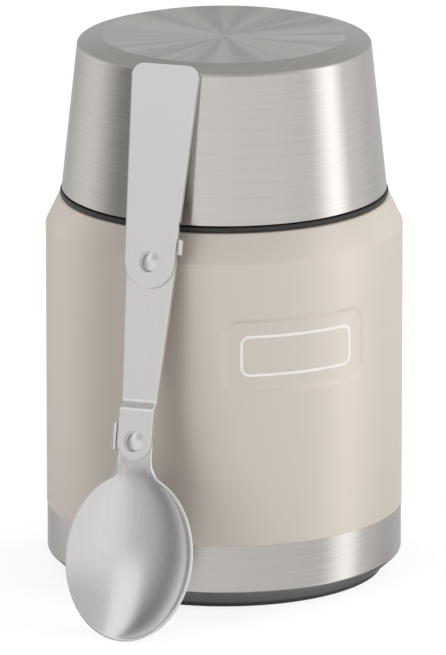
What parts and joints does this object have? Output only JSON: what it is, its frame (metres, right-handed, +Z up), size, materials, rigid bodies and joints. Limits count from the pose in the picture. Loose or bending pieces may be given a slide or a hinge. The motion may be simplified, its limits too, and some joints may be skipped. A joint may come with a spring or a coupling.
{
  "type": "insulated food jar with folding spoon",
  "caption": "Double-walled steel food jar with a screw-in stopper, a steel lid that serves as a bowl, and a folding steel spoon leaning on the lid.",
  "frame": {"origin": "centre of the base pad's underside, on the table", "axes": "+Z up the jar's axis; -Y is the front, the side the viewer sees; the badge panel is 25 degrees towards +X and the spoon 22.4 degrees towards -X from it"},
  "size_m": [0.0952, 0.1252, 0.1468],
  "materials": {
    "coated_steel": "satin warm beige powder coat; the base band below it is bare brushed steel",
    "polished_steel": "fine satin with polished edges",
    "brushed_steel": "horizontally brushed side, spun top",
    "copper_foil": "bright foil",
    "solder": "dull grey",
    "black_rubber": "matt",
    "black_plastic": "satin",
    "grey_plastic": "satin",
    "white_foam": "matt closed-cell foam",
    "grey_silicone": "soft matt silicone"
  },
  "bodies": {
    "jar": {"outer_shell": "coated_steel", "inner_vessel": "polished_steel", "radiation_foil": "copper_foil", "base_plate": "brushed_steel", "vacuum_seal": "solder", "getter": "brushed_steel", "base_pad": "black_rubber"},
    "stopper_gasket": {"stopper_gasket": "grey_silicone"},
    "stopper": {"stopper_body": "black_plastic", "stopper_cover": "black_plastic", "stopper_foam": "white_foam"},
    "lid_seal": {"lid_seal": "grey_silicone"},
    "lid": {"lid_shell": "brushed_steel", "lid_liner": "grey_plastic", "lid_foam": "white_foam"},
    "spoon_bowl": {"spoon_bowl": "polished_steel", "lower_rivet": "polished_steel"},
    "spoon_link": {"spoon_link": "polished_steel", "upper_rivet": "polished_steel"},
    "spoon_handle": {"spoon_handle": "polished_steel"}
  },
  "joints": [
    {"name": "stopper_lift", "type": "slide", "parent": "jar", "child": "stopper_gasket", "axis": [0, 0, 1], "range_m": [0, 0.04]},
    {"name": "stopper_turn", "type": "hinge", "parent": "stopper_gasket", "child": "stopper", "pos_m": [0, 0, 0.11], "axis": [0, 0, 1], "range_deg": [0, 400]},
    {"name": "lid_lift", "type": "slide", "parent": "stopper", "child": "lid_seal", "axis": [0, 0, 1], "range_m": [0, 0.06]},
    {"name": "lid_turn", "type": "hinge", "parent": "lid_seal", "child": "lid", "pos_m": [0, 0, 0.12], "axis": [0, 0, 1], "range_deg": [0, 400]},
    {"name": "spoon_away", "type": "slide", "parent": "lid_seal", "child": "spoon_bowl", "axis": [-0.2695, -0.6538, 0.7071], "range_m": [0, 0.08]},
    {"name": "link_fold", "type": "hinge", "parent": "spoon_bowl", "child": "spoon_link", "pos_m": [-0.02281, -0.06098, 0.05069], "axis": [0.3659, 0.8878, -0.279], "range_deg": [0, 180]},
    {"name": "handle_fold", "type": "hinge", "parent": "spoon_link", "child": "spoon_handle", "pos_m": [-0.01877, -0.04837, 0.0961], "axis": [-0.3659, -0.8878, 0.279], "range_deg": [0, 155]}
  ]
}
